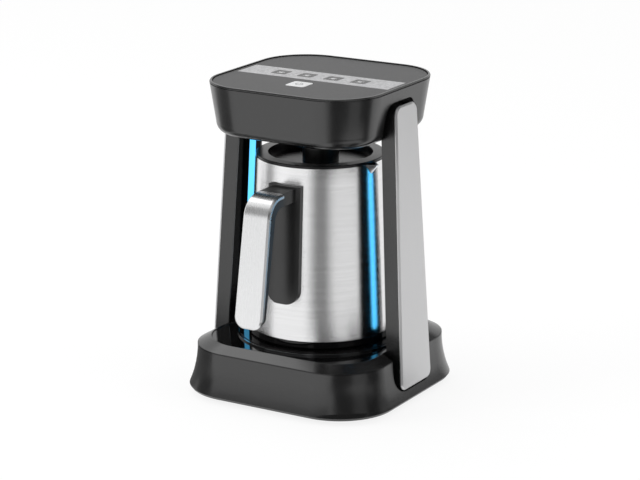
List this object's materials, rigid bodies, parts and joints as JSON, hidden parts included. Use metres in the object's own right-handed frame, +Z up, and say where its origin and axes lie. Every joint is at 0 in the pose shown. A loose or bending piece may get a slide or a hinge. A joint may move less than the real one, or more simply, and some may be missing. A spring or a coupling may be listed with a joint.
{
  "type": "electric turkish coffee maker",
  "caption": "Electric Turkish coffee maker: square base with heater, leaning lit pillars, head with touch keys, and a lidded steel pot with a side-mounted front handle.",
  "frame": {"origin": "on the floor, under the middle of the box that the whole maker fills; the stand's own axis is 9.65 mm behind it because the pot's handle reaches forward", "axes": "+Z up; -Y to the user, where the handle points; +X to the user's right"},
  "size_m": [0.1664, 0.1854, 0.235],
  "materials": {
    "shell_black": "satin",
    "gloss_black": "high gloss",
    "panel_grey": "fine metallic satin",
    "strip_silver": "satin silver",
    "window_dark": "satin",
    "key_white": "satin",
    "trim_silver": "satin anodised",
    "pot_steel": "brushed round the pot",
    "handle_metal": "fine satin",
    "ring_chrome": "polished",
    "heater_black": "non-stick black",
    "element_steel": "heat-tinted",
    "light_blue": "frosted light guide",
    "board_green": "solder mask",
    "relay_blue": "moulded",
    "rubber_black": "matt",
    "seal_grey": "matt silicone",
    "screw_steel": "plated",
    "base_matt": "matt"
  },
  "bodies": {
    "stand": {"base_shell": "shell_black", "base_tray": "gloss_black", "bottom_plate": "base_matt", "rubber_feet": "rubber_black", "base_screws": "screw_steel", "cord_gland": "rubber_black", "heater_plate": "heater_black", "seat_ring": "ring_chrome", "heating_element": "element_steel", "thermostat": "element_steel", "power_board": "board_green", "relay": "relay_blue", "right_pillar": "shell_black", "left_pillar": "shell_black", "right_trim": "trim_silver", "left_trim": "trim_silver", "right_inner_panel": "gloss_black", "left_inner_panel": "gloss_black", "right_light_bar": "light_blue", "left_light_bar": "light_blue", "right_light_board": "board_green", "left_light_board": "board_green", "head_shell": "shell_black", "sensor_boss": "shell_black", "foam_sensor": "gloss_black", "top_panel": "panel_grey", "key_strip": "strip_silver", "cup_windows": "window_dark", "tact_switch": "gloss_black", "control_board": "board_green", "board_screws": "screw_steel", "buzzer": "gloss_black"},
    "pot": {"pot_body": "pot_steel", "pot_foot_ring": "gloss_black", "handle_moulding": "gloss_black", "handle_plate": "handle_metal"},
    "lid": {"lid_disc": "gloss_black", "lid_seal": "seal_grey", "lid_knob": "gloss_black", "knob_screw": "screw_steel"},
    "power_key": {"power_key": "key_white"}
  },
  "joints": [
    {"name": "pot_pull", "type": "slide", "parent": "stand", "child": "pot", "axis": [0, -1, 0], "range_m": [0, 0.2]},
    {"name": "lid_lift", "type": "slide", "parent": "pot", "child": "lid", "axis": [0, 0, 1], "range_m": [0, 0.002]},
    {"name": "power_key_press", "type": "slide", "parent": "stand", "child": "power_key", "axis": [0, 0, -1], "range_m": [0, 0.0006], "stiffness_N_per_m": 400}
  ]
}
